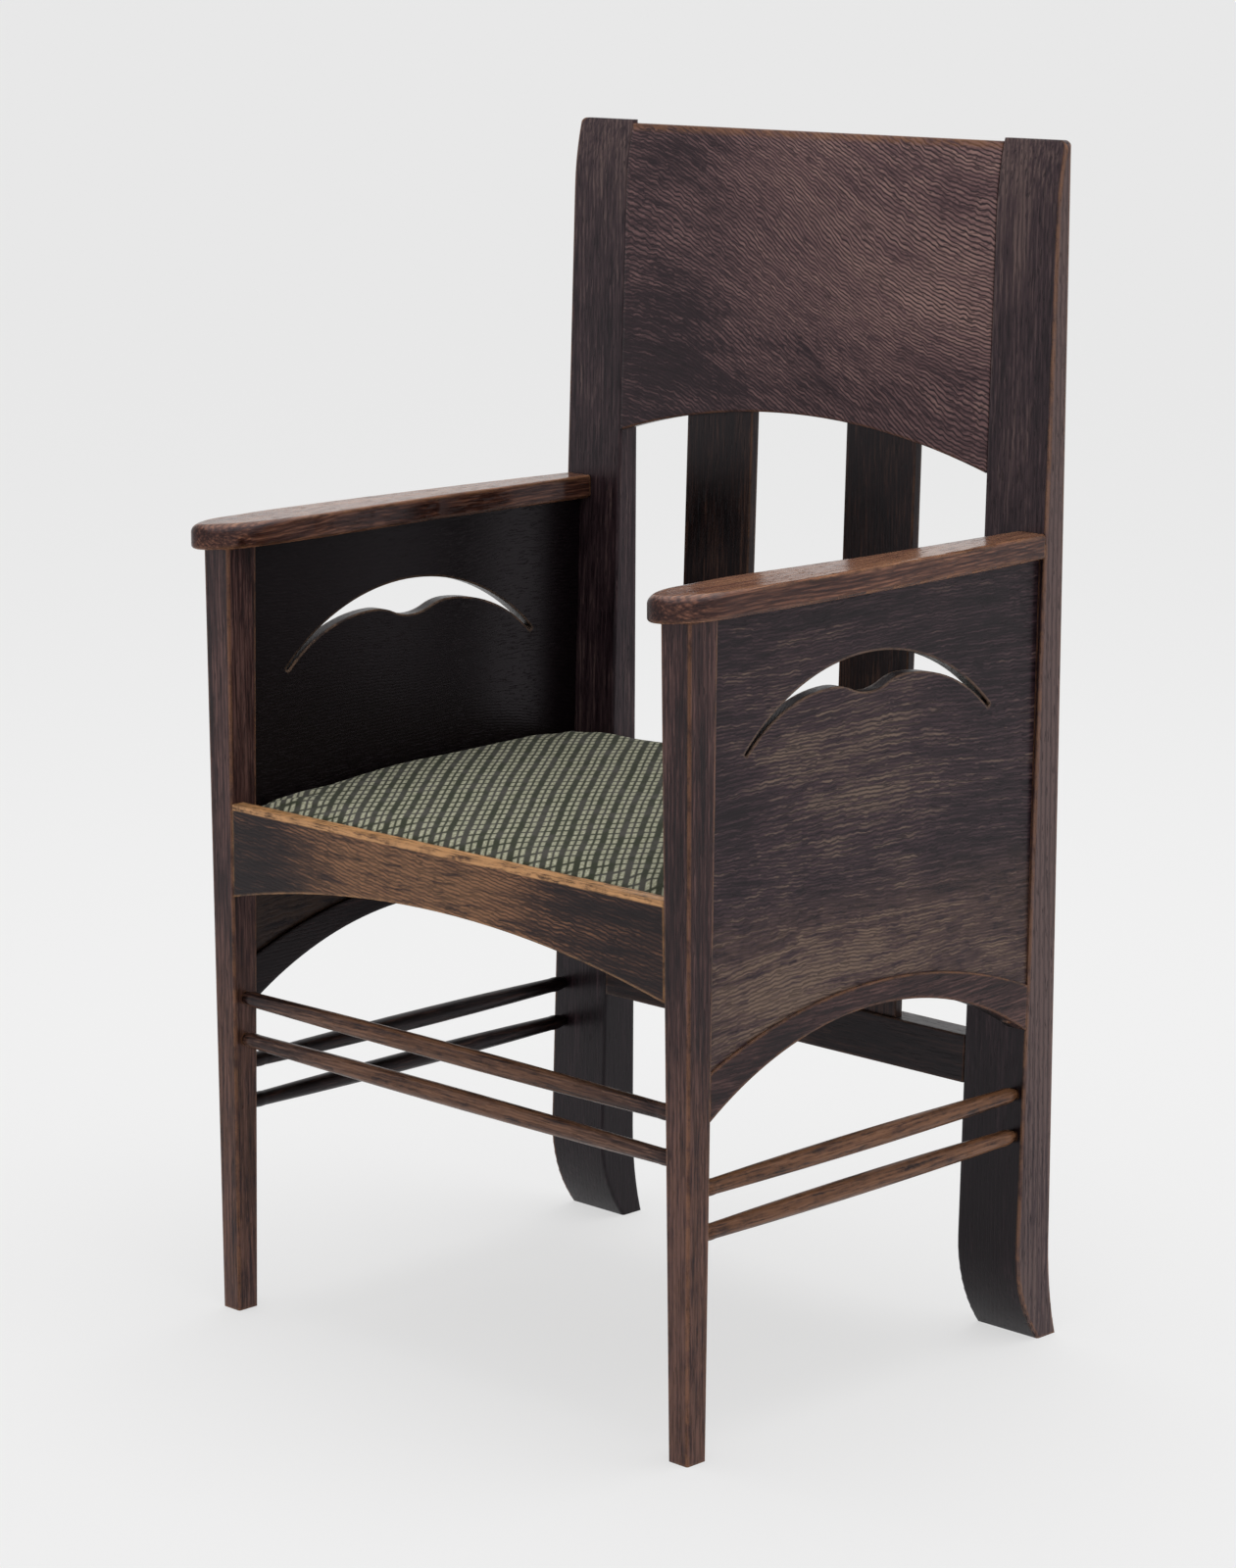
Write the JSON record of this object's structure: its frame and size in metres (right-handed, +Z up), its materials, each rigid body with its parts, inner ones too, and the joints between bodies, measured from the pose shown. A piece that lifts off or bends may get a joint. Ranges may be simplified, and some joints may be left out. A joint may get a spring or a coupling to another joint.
{
  "type": "upholstered armchair",
  "caption": "Tall-backed dark oak armchair with pierced side boards, turned stretchers and a lift-out upholstered seat.",
  "frame": {"origin": "on the floor, at the middle of the chair's width and depth", "axes": "+X to the sitter's left, which is the right of someone facing the chair; +Y to the back; +Z up"},
  "size_m": [0.572, 0.455, 0.97],
  "materials": {
    "frame_oak": "dark stained oak, waxed",
    "arm_varnish": "dark stained oak, glossy varnish",
    "inner_wood": "bare or lightly stained wood",
    "screw_steel": "dull steel",
    "tack_steel": "blued steel",
    "webbing": "woven jute",
    "canvas": "plain canvas",
    "stuffing": "hair and wadding",
    "cover_fabric": "woven wool cloth"
  },
  "bodies": {
    "frame": {"front_leg_left": "frame_oak", "front_leg_right": "frame_oak", "back_post_left": "frame_oak", "back_post_right": "frame_oak", "back_slat_left": "frame_oak", "back_slat_right": "frame_oak", "back_top_panel": "frame_oak", "back_lower_rail": "frame_oak", "front_seat_rail": "frame_oak", "side_board_left": "frame_oak", "side_board_right": "frame_oak", "side_arch_rail_left": "frame_oak", "side_arch_rail_right": "frame_oak", "front_stretcher_upper": "frame_oak", "front_stretcher_lower": "frame_oak", "side_stretcher_upper_left": "frame_oak", "side_stretcher_lower_left": "frame_oak", "side_stretcher_upper_right": "frame_oak", "side_stretcher_lower_right": "frame_oak", "arm_left": "arm_varnish", "arm_right": "arm_varnish", "back_seat_rail": "inner_wood", "side_seat_bearer_left": "inner_wood", "side_seat_bearer_right": "inner_wood", "rear_seat_bearer": "inner_wood", "arm_dowels": "inner_wood", "bearer_screws": "screw_steel"},
    "seat": {"seat_frame_left": "inner_wood", "seat_frame_right": "inner_wood", "seat_frame_front": "inner_wood", "seat_frame_rear": "inner_wood", "seat_webbing_lengthwise": "webbing", "seat_webbing_crosswise": "webbing", "seat_canvas": "canvas", "seat_stuffing": "stuffing", "seat_cover": "cover_fabric", "cover_tacks": "tack_steel"}
  },
  "joints": [
    {"name": "seat_lift", "type": "slide", "parent": "frame", "child": "seat", "axis": [0, 0, 1], "range_m": [0, 0.18]}
  ]
}
